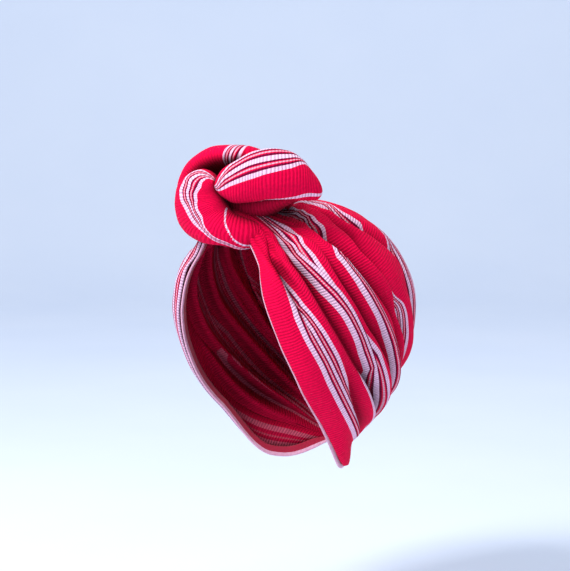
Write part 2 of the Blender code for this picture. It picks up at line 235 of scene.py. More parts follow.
def make_rib_knit(name, hidden):
    """Rib knit: stripes by V, ribs by U, a soft fuzz, slightly uneven dye, and painted shade in the
    grooves and deep in the folds.

    The stripes are hidden by this share: 0 on the right side of the cloth, near 1 on its reverse.
    """
    material, tree, shader = new_material(name)
    cloth = add_node(tree, "ShaderNodeUVMap", {"uv_map": "fabric"})
    parts = add_node(tree, "ShaderNodeSeparateXYZ", Vector=cloth.outputs["UV"])
    shifted = add_node(tree, "ShaderNodeMath", {"operation": "MULTIPLY_ADD"}, in_1=RIB_WAVER,
                       in_0=cloth_noise(tree, cloth, WAVER_PER_MM, 2.0), in_2=parts.outputs["X"])
    turns = add_node(tree, "ShaderNodeMath", {"operation": "MULTIPLY"},
                     in_0=shifted.outputs[0], in_1=2.0 * math.pi / RIB_PERIOD)
    wave = add_node(tree, "ShaderNodeMath", {"operation": "SINE"}, in_0=turns.outputs[0])
    rib = add_node(tree, "ShaderNodeMapRange", Value=wave.outputs[0], From_Min=-1.0)
    yarn, groove_shade_strength = stripe_ramp(tree, parts.outputs["Y"])
    stripes = add_node(tree, "ShaderNodeMixRGB", Fac=hidden, Color1=yarn,
                       Color2=to_linear(REVERSE_AND_WRAP_SHADE_RED))

    # Painted shade: the colour is darker down in the groove between two ribs, on white and on red
    # alike.
    painted_groove_shade = add_node(tree, "ShaderNodeMapRange", {"interpolation_type": "SMOOTHSTEP"},
                      Value=rib.outputs["Result"], From_Max=0.50, To_Min=GROOVE_SHADE)
    groove_shaded = add_node(tree, "ShaderNodeMixRGB", {"blend_type": "MULTIPLY"}, Fac=groove_shade_strength,
                       Color1=stripes.outputs["Color"], Color2=painted_groove_shade.outputs["Result"])
    uneven = add_node(tree, "ShaderNodeMapRange", Value=cloth_noise(tree, cloth, DYE_PER_MM, 4.0),
                      From_Min=0.25, From_Max=0.75, To_Min=0.86, To_Max=1.06)
    # Painted shade: deep in a fold the yarn only gets light that has met other yarn, so the colour
    # is darkened there by an occlusion test.
    fold_occlusion = add_node(tree, "ShaderNodeAmbientOcclusion", {"samples": 6}, Distance=FOLD_SHADE_REACH)
    depth = add_node(tree, "ShaderNodeMapRange", Value=fold_occlusion.outputs["AO"],
                     From_Min=0.40, From_Max=0.97, To_Min=PAINTED_FOLD_SHADE)
    dye_and_fold_shade = add_node(tree, "ShaderNodeMath", {"operation": "MULTIPLY"},
                     in_0=uneven.outputs["Result"], in_1=depth.outputs["Result"])
    shaded = add_node(tree, "ShaderNodeMixRGB", {"blend_type": "MULTIPLY"},
                      Fac=1.0, Color1=groove_shaded.outputs["Color"], Color2=dye_and_fold_shade.outputs[0])
    tree.links.new(shaded.outputs["Color"], shader.inputs["Base Color"])

    stitches = cloth_noise(tree, cloth, STITCHES_PER_MM, 2.0)
    relief = add_node(tree, "ShaderNodeMath", {"operation": "MULTIPLY_ADD"},
                      in_0=stitches, in_1=0.35, in_2=rib.outputs["Result"])
    bump = add_node(tree, "ShaderNodeBump", Strength=0.7, Distance=0.0007, Height=relief.outputs[0])
    tree.links.new(bump.outputs["Normal"], shader.inputs["Normal"])
    set_inputs(shader, Roughness=0.85, IOR=1.5, Specular_IOR_Level=0.07, Sheen_Weight=0.02,
               Sheen_Roughness=0.5, Sheen_Tint=to_linear("#FF9DB8"))
    return material


rib_knit = make_rib_knit("striped_rib_knit", 0.0)
reverse_and_shade_knit = make_rib_knit("rib_knit_reverse_and_wrap_shade", 0.86)
print("Materials", rib_knit.name, "and", reverse_and_shade_knit.name, "with", len(STRIPES), "bands")

# %% [markdown]
# ## The head form that the cloth lies on
#
# The cloth is stretched between two gathers, one under the knot and one at the nape. A place on it
# is given by a station, 0 at the front gather and 180 at the nape, and by an angle round the line
# that joins the two, like the segments of an orange. The head form itself is an egg: a ball that is
# narrower than it is deep, with a lower half longer than the upper one. The same sizes shape the
# solids of the part, so the cloth lands on them.

# %% Head form
HALF_WIDTH = 78.5 * MM
HALF_DEPTH = 98.5 * MM
HEIGHT_ABOVE = 82.5 * MM
DEPTH_BELOW = 115.5 * MM
FRONT_GATHER = Vector((0.0, -60.0, 70.0)) * MM
NAPE_GATHER = Vector((0.0, 60.0, -100.0)) * MM
AXIS = (FRONT_GATHER - NAPE_GATHER).normalized()
MIDDLE = (FRONT_GATHER + NAPE_GATHER) * 0.5
BACK = Vector((0.0, AXIS.z, -AXIS.y))


def smooth_step(value):
    """Return a value between 0 and 1 with soft ends."""
    value = min(max(value, 0.0), 1.0)
    return value * value * (3.0 - 2.0 * value)


def fade(value, start, end):
    """Rise softly from 0 at the start to 1 at the end, which may be the smaller of the two."""
    return smooth_step((value - start) / (end - start))


def table_at(keys, values, where):
    """Read a table between its stations with a smooth curve that never overshoots."""
    if where <= keys[0]:
        return values[0]
    if where >= keys[-1]:
        return values[-1]
    i = max(k for k in range(len(keys) - 1) if keys[k] <= where)
    span = keys[i + 1] - keys[i]
    t = (where - keys[i]) / span

    def slope(k):
        if k == 0 or k == len(keys) - 1:
            return 0.0
        before = (values[k] - values[k - 1]) / (keys[k] - keys[k - 1])
        after = (values[k + 1] - values[k]) / (keys[k + 1] - keys[k])
        if before * after <= 0.0:
            return 0.0
        return 2.0 * before * after / (before + after)

    t2, t3 = t * t, t * t * t
    return ((2 * t3 - 3 * t2 + 1) * values[i] + (t3 - 2 * t2 + t) * span * slope(i)
            + (-2 * t3 + 3 * t2) * values[i + 1] + (t3 - t2) * span * slope(i + 1))


def on_head(station, degrees):
    """Point of the head form at a station and angle on the wearer's left, and its normal."""
    s, phi = math.radians(station), math.radians(degrees)
    ray = AXIS * math.cos(s) + (Vector((math.cos(phi), 0, 0)) + BACK * math.sin(phi)) * math.sin(s)
    for height in (HEIGHT_ABOVE, DEPTH_BELOW):
        scale = Vector((1.0 / HALF_WIDTH, 1.0 / HALF_DEPTH, 1.0 / height))
        a, b = ray * scale, MIDDLE * scale
        aa, ab, bb = a.dot(a), a.dot(b), b.dot(b) - 1.0
        point = MIDDLE + ray * (-ab + math.sqrt(ab * ab - aa * bb)) / aa
        if (point.z >= 0.0) == (height == HEIGHT_ABOVE):
            break
    normal = Vector((point.x / HALF_WIDTH ** 2, point.y / HALF_DEPTH ** 2, point.z / height ** 2))
    return point, normal.normalized()


print("Gathers are", round((FRONT_GATHER - NAPE_GATHER).length / MM), "mm apart")

# %% [markdown]
# ## The folds of the crown, as a table
#
# Each fold is a soft tube of cloth that rises slowly and then drops over a rounded lip onto the
# next one. The lips are what the eye follows, so each lip is one row of a short table: its angle at
# fourteen stations. A second table says how deep the step is, because some folds die out. Both
# tables cover the wearer's left, from the face edge to the centre back, and the right mirrors them.

# %% Lips of the folds
STATIONS = (0, 12, 24, 32, 40, 48, 56, 66, 78, 92, 108, 124, 145, 180)
LIPS = {
    "face_edge":   (-30, -33, -37, -42, -45, -46, -46.5, -47, -47, -47.5, -47.5, -48, -50, -50),
    "dart":        (6, 2, -23, -26, -28, -29, -29.5, -30.3, -30.3, -30.9, -31, -31, -31, -31),
    "low_fold":    (12, 8, -16, -21, -22.5, -22.5, -21.5,
                    -20.5, -20.5, -22.5, -26, -27.3, -27.5, -27.5),
    "brow_fold":   (20, 14, -4.5, -11.5, -13.5, -15.3, -16.5, -17, -17, -16.2, -14, -12, -10, -10),
    "brow_slip":   (26, 22, 8.5, -0.3, -2, -2.6, -1.8, -2.2, -3, -3.8, -4.6, -4.8, -4, -4),
    "temple_fold": (42, 44, 25, 16, 11, 6, 3.6, 2.4, 1.6, 3.4, 5.5, 7, 8, 8),
    "tuck":        (50, 52, 33, 24, 20.8, 19.2, 17.6, 16.8, 15.8, 16, 17.3, 20, 24, 24),
    "ear_fold":    (58, 60, 48, 30, 23, 20.6, 20, 19.5, 20, 21, 20.8, 24, 30, 30),
    "side_fold":   (70, 74, 78, 68, 46, 38.5, 32, 30.3, 29, 26.5, 28.5, 31.5, 37, 37),
    "back_fold":   (80, 82, 82, 76, 62, 51.5, 50, 50, 51, 41.5, 41.5, 44, 50, 50),
    "last_fold":   (84, 85, 85, 84, 79, 75, 72, 69, 67, 64, 62, 64, 68, 68),
    "centre_back": (90, 90, 90, 90, 90, 90, 90, 90, 90, 90, 90, 90, 90, 90),
}
STEPS = {
    "face_edge":   (0, 0, 0, 0, 0, 0, 0, 0, 0, 0, 0, 0, 0, 0),
    "dart":        (0.2, 0.4, 0.8, 0.9, 0.8, 0.5, 0.25, 0, 0, 0, 0, 0, 0, 0),
    "low_fold":    (0, 0, 0, 0, 0, 0, 0, 0, 0, 0.3, 0.8, 1, 1, 1),
    "brow_fold":   (1, 1, 1, 1, 1, 1, 1, 1, 1, 1, 1, 1, 1, 1),
    "brow_slip":   (0, 0, 0, 0, 0, 0, 0, 0, 0, 0, 0, 0, 0, 0),
    "temple_fold": (0, 0, 0, 0.1, 0.3, 0.7, 0.9, 1, 1, 1, 1, 1, 1, 1),
    "tuck":        (0, 0, 0, 0, 0, 0.1, 0.3, 0.4, 0.4, 0.4, 0.5, 0.6, 0.6, 0.6),
    "ear_fold":    (1, 1, 1, 1, 1, 1, 1, 1, 1, 1, 1, 1, 1, 1),
    "side_fold":   (0, 0, 0, 0.2, 0.6, 0.8, 0.7, 0.5, 0.3, 0.6, 0.8, 0.8, 0.8, 0.8),
    "back_fold":   (0, 0, 0.2, 0.5, 0.8, 0.9, 1, 1, 0.9, 0.8, 0.8, 0.8, 0.8, 0.8),
    "last_fold":   (0, 0, 0, 0, 0.2, 0.4, 0.7, 0.8, 0.8, 0.8, 0.8, 0.8, 0.8, 0.8),
    "centre_back": (0, 0, 0, 0, 0, 0, 0.2, 0.3, 0.3, 0.3, 0.3, 0.3, 0.3, 0.3),
}
LIP_NAMES = tuple(LIPS)
FOLDS = len(LIP_NAMES) - 1
FOLD_COLUMNS = (16, 7, 8, 12, 9, 12, 4, 14, 17, 12, 12)


@functools.lru_cache(maxsize=None)
def lip_at(index, station):
    """Angle of a lip at a station."""
    return table_at(STATIONS, LIPS[LIP_NAMES[index]], station)


@functools.lru_cache(maxsize=None)
def step_at(index, station):
    """How far the cloth drops over a lip, from 0 to 1."""
    return table_at(STATIONS, STEPS[LIP_NAMES[index]], station)


print(FOLDS, "folds on each side, drawn with", 2 * sum(FOLD_COLUMNS), "columns")

# %% [markdown]
# ## The cloth measured across, so the stripes land where they do
#
# Cloth disappears into each fold, so a stripe can dive under a lip and come out again further on.
# V, the millimetres of cloth across the stripes, therefore jumps at a lip. For each fold the tables
# give V at its start and at its end, and the line where a known V, the middle of a white stripe,
# lies between them.

# %% Cloth across each fold, in millimetres
START_V = {
    "face_edge":   (-19,) * 14,
    "dart":        (26, 26, 26, 22, 17, 14.5, 10.5, 8.3, 8.3, 8.3, 8.3, 8.3, 8.3, 8.3),
    "low_fold":    (30, 30, 30, 29, 28, 28, 28, 28, 28, 28, 34, 40, 40, 40),
    "brow_fold":   (7, 7, 0, -2, -3.5, -5.5, -8, -10, -9.5, -6.5, 1, 7, 8, 8),
    "brow_slip":   (13.4, 13.4, 13.4, 14.4, 17.4, 20.6, 22.8,
                    23.5, 22.9, 18, 14.2, 14.2, 14.2, 14.2),
    "temple_fold": (28, 28, 30, 34, 38, 40, 42, 44, 44, 40, 36, 36, 36, 36),
    "tuck":        (38, 38, 40, 47, 56, 78, 80, 81, 81, 81, 81, 81, 81, 81),
    "ear_fold":    (-8, -6, 1, 11, 19.5, 25, 30, 34, 38, 40, 40, 40, 40, 40),
    "side_fold":   (87, 87, 87, 87, 87, 87, 87, 85, 80, 58.5, 63, 72, 80, 80),
    "back_fold":   (100, 100, 100, 104, 110, 121.5, 129.5, 141, 168, 173, 174, 174, 174, 174),
    "last_fold":   (165, 165, 163, 160, 158, 157, 157, 157, 157, 157, 157, 157, 160, 160),
}
END_V = {
    "face_edge":   (-1, -1, -1, 1, 3, 5.6, 7.5, 8.3, 8.3, 8.3, 8.3, 8.3, 8.3, 8.3),
    "dart":        (30, 30, 30, 28, 27, 27, 27, 27, 27, 26, 20, 14.5, 14, 14),
    "low_fold":    (40, 40, 45, 52, 57.7, 57.7, 50, 45, 45, 55, 63, 63.1, 63.1, 63.1),
    "brow_fold":   (13.4, 13.4, 13.4, 13.4, 13.1, 13.1, 13.1,
                    13.3, 14, 14.2, 14.2, 14.2, 14.2, 14.2),
    "brow_slip":   (24, 24, 26, 30, 34, 36, 38, 38, 38, 34, 26, 25, 25, 25),
    "temple_fold": (36, 36, 38, 46, 56.5, 67, 70.5, 70.5, 70.5, 70.5, 70.5, 70.5, 70.5, 70.5),
    "tuck":        (42, 42, 44, 50, 58, 84, 86, 88, 88, 88, 88, 88, 88, 88),
    "ear_fold":    (24, 24, 26, 36, 46, 57.5, 58.4, 58.4, 58.4, 56.5, 55, 55, 55, 55),
    "side_fold":   (110, 110, 110, 110, 110, 110, 110, 108, 104, 92, 92, 96, 98, 98),
    "back_fold":   (140, 140, 142, 146, 150, 156, 164, 176, 204, 206, 208, 208, 208, 208),
    "last_fold":   (182.5,) * 14,
}
STRIPE_LINES = {
    "face_edge": ((2.75, (-30, -33, -30, -27, -30.6, -31.9, -33,
                          -33.6, -33.4, -34.3, -34.5, -34.4, -35, -35)),),
    "dart": ((11.5, (7, 3, -21, -25.5, -27.5, -28, -27.6,
                     -28.7, -28.8, -29.3, -29.3, -29.2, -29, -29)),
             (20.3, (8, 4, -19, -24.9, -25.7, -25.4, -24.3,
                     -23.5, -23.6, -24.8, -27, -28, -28, -28))),
    "low_fold": ((59.75, (14, 10, -9, -13, -14, -15, -16.5,
                          -17, -17, -17, -16.2, -15.6, -15, -15)),),
    "brow_fold": ((2.75, (22, 17, -1, -8.3, -10, -10.2, -9.6,
                          -8.8, -9.4, -10.5, -10.4, -9.5, -8, -8)),),
    "brow_slip": ((20.3, (30, 27, 19.5, 5.2, 0.5, -1, -0.6, -1, -1.6, -0.6, -0.8, -0.8, 0, 0)),),
    "temple_fold": ((59.75, (46, 46, 26, 18, 17.5, 15, 12.3, 10.3, 9.5, 9.4, 10.4, 11.8, 13, 13)),
                    (68.5, (48, 50, 30, 22, 20, 17.9, 16.4, 15.6, 14.6, 14.8, 16, 18, 20, 20))),
    "ear_fold": ((2.75, (60, 62, 51, 33, 26, 24, 24, 24, 24, 24, 24, 24, 24, 24)),
                 (11.5, (63, 66, 60, 34, 27, 25, 25, 25, 25, 25, 25, 25, 25, 25)),
                 (20.3, (66, 71, 69, 43, 28.5, 26, 26, 26, 26, 26, 26, 26, 26, 26))),
    "side_fold": ((84, (72, 76, 80, 70, 48, 42, 36, 33, 29.4, 35, 37, 39, 44, 44)),),
    "back_fold": ((116.75, (82, 84, 86, 84, 69, 54, 53, 53, 53, 53, 53, 53, 53, 53)),
                  (134.3, (83, 85, 88, 87, 80, 61, 56.6, 54, 54, 54, 54, 54, 54, 54))),
}
# The brow on the wearer's right shows another part of the pattern than the left brow does.
RIGHT_FACE_SHIFT = 21.5
print("White stripes followed on", len(STRIPE_LINES), "folds")

# %% [markdown]
# ## A stripe as wide as it was knitted
#
# Spread evenly between two known lines, the cloth would stretch a white stripe in one place and
# squeeze it in another. Within 3 mm of its middle a stripe therefore keeps its natural width, and
# the red takes up the rest. Close to a lip its middle moves to the lip, so that it slides under
# whole.

# %% Cloth between the known lines
# In millimetres: how far folds stand off the head on average, half of what keeps its width, and
# how near to a lip a stripe begins to move to it.
MEAN_LIFT = 7.0
STRIPE_REACH = 3.0
LIP_REACH = 4.0
# Two stripes beside each other each take a little less than half of what lies between them.
WIDTH_SHARE, TURN_SHARE = 0.45, 0.42


@functools.lru_cache(maxsize=None)
def cloth_per_degree(station):
    """Millimetres of the head form in one degree, at a station."""
    arm = on_head(station, 0.0)[0] - MIDDLE
    radius = (arm - AXIS * arm.dot(AXIS)).length / MM
    return max(math.radians(radius + MEAN_LIFT), 0.2)


@functools.lru_cache(maxsize=None)
def cloth_marks(index, station):
    """Angles in a fold with a known V. A stripe keeps its width, and the red takes up the rest."""
    name = LIP_NAMES[index]
    first = (lip_at(index, station), table_at(STATIONS, START_V[name], station), False)
    last = (lip_at(index + 1, station), table_at(STATIONS, END_V[name], station), False)
    rate = cloth_per_degree(station)
    marks = [first]
    for value, line in STRIPE_LINES.get(name, ()):
        from_first, to_last = value - first[1], last[1] - value
        if from_first > 0.0 and to_last > 0.0:
            place = table_at(STATIONS, line, station)
            place = first[0] + (place - first[0]) * min(from_first / LIP_REACH, 1.0)
            place = last[0] - (last[0] - place) * min(to_last / LIP_REACH, 1.0)
            marks.append((min(max(place, marks[-1][0] + 0.1), last[0] - 0.1), value, True))
        elif -STRIPE_REACH < from_first <= 0.0:
            marks = [(first[0] + from_first / rate, value, True)]
        elif -STRIPE_REACH < to_last <= 0.0:
            last = (last[0] - to_last / rate, value, True)
    marks.append(last)
    detailed = [marks[0]]
    for here, after in zip(marks, marks[1:]):
        value = min(STRIPE_REACH, WIDTH_SHARE * (after[1] - here[1]))
        turn = min(value / rate, TURN_SHARE * (after[0] - here[0]))
        if here[2]:
            detailed.append((here[0] + turn, here[1] + value))
        if after[2]:
            detailed.append((after[0] - turn, after[1] - value))
    return tuple(mark[:2] for mark in detailed + [last])


@functools.lru_cache(maxsize=None)
def cloth_across(index, degrees, station):
    """Millimetres of cloth across the stripes, at an angle inside one fold."""
    marks = cloth_marks(index, station)
    for (a, va), (b, vb) in zip(marks, marks[1:]):
        if degrees <= b:
            return va + (vb - va) * (degrees - a) / max(b - a, 0.01)
    return marks[-1][1]


print("One degree is", round(cloth_per_degree(90.0), 2), "mm of cloth at the widest station")

# %% [markdown]
# ## From the tables to a folded sheet
#
# The sheet is a flat grid laid over the head form. Each point is lifted by the height of its fold,
# and near the edges of the cloth by a little less. The lower corner behind the ear hangs lowest, so
# the last points there are pulled down to a tip. At the front gather the cloth is pulled up into
# the knot, which hides its end, and fine ripples fan out from there. Over the brow on the wearer's
# right it bunches a little. Noise adds the slight unevenness of real cloth.

# %% Height and place of the cloth
FOLD_HEIGHT = 9.6 * MM
VALLEY_SINK = 2.6 * MM
LIP_ROUND = 5.0 * MM
RISE = 15.0 * MM
RISE_POWER = 1.25
LIP_CROWDING = 1.35
EDGE_LIFT = 2.2 * MM
EDGE_DEGREES = 9.0
EDGE_TURN = 1.0 * MM
EDGE_TURN_DEGREES = 1.5
UNEVENNESS = 0.8 * MM
UNEVEN_PER_STATION, UNEVEN_PER_DEGREE = 0.045, 0.09
KNOT_PULL = 24.0 * MM
GATHER_RIPPLE = 0.7 * MM
RIPPLE_DEGREES = 11.0
CLOTH = 1.6 * MM
TIP_DROP = 16.0 * MM
TIP_WIDTH = 13.0
TIP_LEAN = (0.28, 0.22, -1.0)
NAPE_SHARE = 0.6
BROW_BUNCH = {"station": (2, 15, 28, 46), "lift_mm": (0.0, 5.5, 3.0, 0.0)}
BUNCH_DEGREES = 30.0
# Stations over which something fades in or out.
FOLDS_IN, FOLDS_OUT = (9.0, 40.0), (170.0, 128.0)
RIPPLE_IN, RIPPLE_OUT = (6.0, 16.0), (52.0, 26.0)
TIP_IN, NAPE_IN = (112.0, 144.0), (150.0, 178.0)
KNOT_PULL_END = 25.0


def fullness(station):
    """Folds flatten toward the two gathers."""
    return fade(station, *FOLDS_IN) * fade(station, *FOLDS_OUT)


def fold_height(index, degrees, station):
    """Share of the full height: a slow rise, then a drop over a rounded lip."""
    point, _ = on_head(station, degrees)
    arm = point - MIDDLE
    radius = (arm - AXIS * arm.dot(AXIS)).length
    from_start = math.radians(degrees - lip_at(index, station)) * radius
    to_end = math.radians(lip_at(index + 1, station) - degrees) * radius
    rise = math.sin(0.5 * math.pi * min(max(from_start / RISE, 0.0), 1.0)) ** RISE_POWER
    edge = min(max(to_end / LIP_ROUND, 0.0), 1.0)
    drop = math.sqrt(1.0 - (1.0 - edge) ** 2)
    return ((1.0 - step_at(index, station) * (1.0 - rise))
            * (1.0 - step_at(index + 1, station) * (1.0 - drop)))


def place_cloth(station, degrees, lift, side):
    """Lift a point off the head form and pull the lower corner down, on one side of the head."""
    point, normal = on_head(station, degrees)
    if side < 0:
        bunch = table_at(BROW_BUNCH["station"], BROW_BUNCH["lift_mm"], station) * MM
        lift += bunch * fade(degrees, 0.0, -BUNCH_DEGREES)
    point = point + normal * lift
    point = point + AXIS * KNOT_PULL * (1.0 - fade(station, 0.0, KNOT_PULL_END))
    low = fade(station, *TIP_IN)
    at_nape = fade(station, *NAPE_IN)
    corner = 1.0 - smooth_step((degrees - lip_at(0, station)) / TIP_WIDTH)
    drop = TIP_DROP * low * (corner * (1.0 - at_nape) + NAPE_SHARE * at_nape)
    point = point + Vector((TIP_LEAN[0] * (1.0 - at_nape), TIP_LEAN[1], TIP_LEAN[2])) * drop
    return Vector((point.x * side, point.y, point.z)) + WIDEST_LEVEL


def crown_point(index, across, station, side):
    """Outer surface of the crown inside one fold, and its angle."""
    start, end = lip_at(index, station), lip_at(index + 1, station)
    degrees = start + (end - start) * (1.0 - (1.0 - across) ** LIP_CROWDING)
    height = FOLD_HEIGHT * fold_height(index, degrees, station) - VALLEY_SINK
    from_edge = degrees - lip_at(0, station)
    height = EDGE_LIFT + (height - EDGE_LIFT) * fade(from_edge, 0.0, EDGE_DEGREES)
    height *= fullness(station)
    height -= EDGE_TURN * (1.0 - fade(from_edge, 0.0, EDGE_TURN_DEGREES))
    uneven = noise.noise(Vector((station * UNEVEN_PER_STATION, degrees * UNEVEN_PER_DEGREE,
                                 3.0 * side)))
    height += UNEVENNESS * uneven * fullness(station)
    gathered = fade(station, *RIPPLE_IN) * fade(station, *RIPPLE_OUT)
    sway = 3.0 * noise.noise(Vector((station * 0.05, 0.0, 7.0)))
    ripple = math.sin(math.radians(degrees * 360.0 / RIPPLE_DEGREES) + sway)
    height += GATHER_RIPPLE * gathered * ripple
    return place_cloth(station, degrees, height, side), degrees


print("Folds stand", round(FOLD_HEIGHT / MM, 1), "mm off the head form")

# %% [markdown]
# ## Helpers that every mesh shares
#
# The ribs need true lengths along the cloth. Each mesh is merged, has its faces turned outward, and
# becomes an object at the origin, with its place in its points.

# %% Mesh helpers


def lengths_along(points):
    """Running length in millimetres along a column of points, zero at its middle."""
    lengths = [0.0]
    for here, there in zip(points, points[1:]):
        lengths.append(lengths[-1] + (there - here).length / MM)
    middle = lengths[len(lengths) // 2]
    return [length - middle for length in lengths]


def turn_outward(bm, inside):
    """Recalculate the normals, and turn them all away from a point inside."""
    bmesh.ops.recalc_face_normals(bm, faces=bm.faces)
    spread = sum(f.normal.dot(f.calc_center_median() - inside) * f.calc_area() for f in bm.faces)
    if spread < 0.0:
        bmesh.ops.reverse_faces(bm, faces=bm.faces)


def finish_mesh(name, bm, inside, material):
    """Make an object at the origin from a bmesh, shaded smooth."""
    bmesh.ops.remove_doubles(bm, verts=bm.verts, dist=0.00001)
    turn_outward(bm, inside)
    mesh = bpy.data.meshes.new(name)
    bm.to_mesh(mesh)
    bm.free()
    mesh.shade_smooth()
    mesh.materials.append(material)
    piece = bpy.data.objects.new(name, mesh)
    bpy.context.scene.collection.objects.link(piece)
    return piece


# %% [markdown]
# ## Laying the crown
#
# The grid comes from one operator, and only its points move. A cell of the grid knows its fold by
# its column, so both sides of a lip can carry their own V. U is the true length along each column,
# which keeps the ribs evenly spaced. A Solidify modifier gives the wall its thickness toward the
# head, and paints that inner side with the reverse of the knit. A cloth simulation was not used,
# because the folds have to lie where the real ones do.

# %% Crown
CROWN_ROWS = 150


def crown_columns():
    """Side, fold and place in the fold for each column, from the left face edge to the right."""
    near = [(0, 0.0)]
    for index, count in enumerate(FOLD_COLUMNS):
        near += [(index, (k + 1) / count) for k in range(count)]
    left = [(1, index, across) for index, across in near]
    right = [(-1, index, across) for index, across in near[:-1]]
    return left + right[::-1]


def cell_fold(columns, cell):
    """Fold that the cell to the right of a column belongs to."""
    return max(columns[cell][1], columns[cell + 1][1])


def build_crown():
    """Folded sheet from the face edge on the left, over the back, to the face edge on the right."""
    columns = crown_columns()
    wide = len(columns) - 1
    bm = bmesh.new()
    bmesh.ops.create_grid(bm, x_segments=wide, y_segments=CROWN_ROWS, size=1.0)
    layer = bm.loops.layers.uv.new("fabric")
    place = {vert: (round((vert.co.x + 1.0) * 0.5 * wide),
                    round((vert.co.y + 1.0) * 0.5 * CROWN_ROWS)) for vert in bm.verts}
    angles, paths = {}, {}
    for column, (side, index, across) in enumerate(columns):
        path = []
        for row in range(CROWN_ROWS + 1):
            point, degrees = crown_point(index, across, 180.0 * row / CROWN_ROWS, side)
            path.append(point)
            angles[column, row] = degrees
        paths[column] = path
    lengths = {column: lengths_along(path) for column, path in paths.items()}
    for face in bm.faces:
        cell = min(place[vert][0] for vert in face.verts)
        index = cell_fold(columns, cell)
        shift = RIGHT_FACE_SHIFT if columns[cell + 1][0] < 0 and index < 2 else 0.0
        for loop in face.loops:
            column, row = place[loop.vert]
            v = cloth_across(index, angles[column, row], 180.0 * row / CROWN_ROWS) + shift
            loop[layer].uv = (lengths[column][row], v)
    for vert in bm.verts:
        column, row = place[vert]
        vert.co = paths[column][row]
    crown = finish_mesh("crown_cloth", bm, MIDDLE + WIDEST_LEVEL, rib_knit)
    wall = crown.modifiers.new("wall", "SOLIDIFY")
    wall.thickness = CLOTH
    wall.offset = -1.0
    crown.data.materials.append(reverse_and_shade_knit)
    wall.material_offset = 1
    return crown


crown = build_crown()
crown_area = sum(polygon.area for polygon in crown.data.polygons)
print("Crown", len(crown.data.polygons), "cells,", round(crown_area, 4), "square metres of cloth")

# %% [markdown]
# ## The turned hem round the face
#
# The raw edge is turned in behind the face edge and sewn over in pale pink. It shows as a thin line
# that widens toward the lower tip. Further in, the band is the deep red reverse of the knit. It is
# one narrow grid run once round the opening, just inside the crown's wall, with a thickness from a
# Solidify modifier.

# %% Hem sizes and material
HEM_WIDTH = 8.0
HEM_COLUMNS = 6
HEM_STATIONS = 180
HEM_THICKNESS = 1.3 * MM
HEM_DEPTH = 2.75 * MM
HEM_SLOPE = 0.30
HALF_HEM_LENGTH = 300.0
HEM_IN, HEM_OUT = (1.0, 17.0), (179.0, 163.0)
THREAD_WIDTH = 3.2
HEM_SHOWING_MM = (0.2, 0.2, 0.3, 0.4, 0.4, 0.4, 0.4, 0.5, 0.6, 0.9, 1.3, 2.0, 2.4, 0.5)


def make_hem_cloth():
    """Pale pink sewing with fine cross ribs, then the deep red reverse of the knit."""
    material, tree, shader = new_material("hem_cloth")
    cloth = add_node(tree, "ShaderNodeUVMap", {"uv_map": "fabric"})
    parts = add_node(tree, "ShaderNodeSeparateXYZ", Vector=cloth.outputs["UV"])
    turns = add_node(tree, "ShaderNodeMath", {"operation": "MULTIPLY"},
                     in_0=parts.outputs["X"], in_1=2.0 * math.pi / (0.5 * RIB_PERIOD))
    wave = add_node(tree, "ShaderNodeMath", {"operation": "SINE"}, in_0=turns.outputs[0])
    patches = add_node(tree, "ShaderNodeTexNoise", {"noise_dimensions": "2D"},
                       Vector=cloth.outputs["UV"], Scale=0.5, Detail=3.0)
    colour = add_node(tree, "ShaderNodeMixRGB", Fac=patches.outputs["Fac"],
                      Color1=to_linear("#F3C6DA"), Color2=to_linear("#E58FB0"))
    turned_in = add_node(tree, "ShaderNodeMath", {"operation": "GREATER_THAN"},
                         in_0=parts.outputs["Y"], in_1=THREAD_WIDTH)
    band = add_node(tree, "ShaderNodeMixRGB", Fac=turned_in.outputs[0],
                    Color1=colour.outputs["Color"], Color2=to_linear("#B00534"))
    tree.links.new(band.outputs["Color"], shader.inputs["Base Color"])
    bump = add_node(tree, "ShaderNodeBump", Strength=0.5, Distance=0.0004, Height=wave.outputs[0])
    tree.links.new(bump.outputs["Normal"], shader.inputs["Normal"])
    set_inputs(shader, Roughness=0.9, Sheen_Weight=0.2)
    return material


hem_cloth = make_hem_cloth()
print("Material", hem_cloth.name)

# %% Hem band


def build_hem():
    """Narrow band that follows the face edge down one side and up the other."""
    bm = bmesh.new()
    bmesh.ops.create_grid(bm, x_segments=2 * HEM_STATIONS, y_segments=HEM_COLUMNS, size=1.0)
    layer = bm.loops.layers.uv.new("fabric")
    place = {vert: (vert.co.x, (vert.co.y + 1.0) * 0.5) for vert in bm.verts}
    for vert in bm.verts:
        along, across = place[vert]
        side = 1 if along <= 0.0 else -1
        station = min(max(180.0 * (1.0 - abs(along)), 0.5), 179.5)
        edge = lip_at(0, station)
        lift = EDGE_LIFT * fullness(station)
        here = place_cloth(station, edge, lift, side)
        inward = (place_cloth(station, edge + 3.0, lift, side) - here).normalized()
        onward = (place_cloth(station + 0.5, edge, lift, side)
                  - place_cloth(station - 0.5, edge, lift, side))
        normal = inward.cross(onward).normalized() * -side
        ends = fade(station, *HEM_IN) * fade(station, *HEM_OUT)
        back = across * (1.0 + (HEM_WIDTH - 1.0) * ends) * MM
        back -= table_at(STATIONS, HEM_SHOWING_MM, station) * MM
        drop = HEM_DEPTH + HEM_SLOPE * max(back, 0.0)
        vert.co = here + inward * back - normal * drop
    for face in bm.faces:
        for loop in face.loops:
            along, across = place[loop.vert]
            loop[layer].uv = (along * HALF_HEM_LENGTH, across * HEM_WIDTH)
    hem = finish_mesh("hem_band", bm, MIDDLE + WIDEST_LEVEL, hem_cloth)
    band = hem.modifiers.new("band", "SOLIDIFY")
    band.thickness = HEM_THICKNESS
    band.offset = -1.0
    return hem


hem = build_hem()
hem_area = sum(polygon.area for polygon in hem.data.polygons)
print("Hem", len(hem.data.polygons), "cells,", round(hem_area, 4), "square metres")

